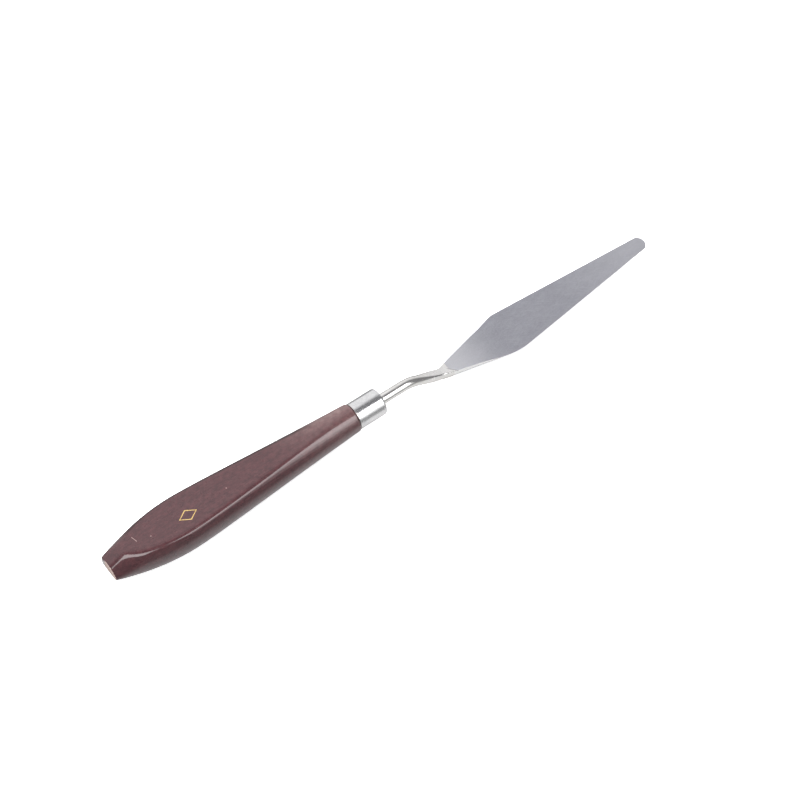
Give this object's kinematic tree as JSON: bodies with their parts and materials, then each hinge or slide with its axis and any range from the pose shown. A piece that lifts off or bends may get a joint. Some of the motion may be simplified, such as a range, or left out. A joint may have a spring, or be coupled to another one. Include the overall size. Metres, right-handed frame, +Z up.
{
  "type": "palette knife",
  "caption": "Artist's palette knife with a lacquered wooden handle, metal ferrule, cranked steel shank and thin flexible diamond-shaped blade for mixing and spreading paint.",
  "frame": {"origin": "centre of the bounding box on the table that the knife lies on", "axes": "+X from the butt of the handle to the tip of the blade, +Z up off the table, Y across the blade"},
  "size_m": [0.226, 0.019, 0.013],
  "materials": {
    "lacquered_wood": "dark maroon-brown gloss lacquer over fine-grained hardwood, bare at the butt face",
    "ferrule_metal": "polished, drawn, slightly scuffed",
    "forged_steel": "polished round shank, satin-ground blade faces",
    "cured_adhesive": "cured epoxy, hidden in the handle",
    "gold_foil": "hot-stamped foil, a surface mark a few hundredths of a millimetre thick"
  },
  "bodies": {
    "grip": {"handle": "lacquered_wood", "ferrule": "ferrule_metal", "tang_adhesive": "cured_adhesive", "tang_and_shank": "forged_steel"},
    "leaf": {"blade": "forged_steel"}
  },
  "joints": [
    {"name": "blade_flex", "type": "hinge", "parent": "grip", "child": "leaf", "pos_m": [0.05319, 0, 0.0029], "axis": [0, -1, 0], "range_deg": [-6, 25], "stiffness_Nm_per_rad": 0.6}
  ]
}
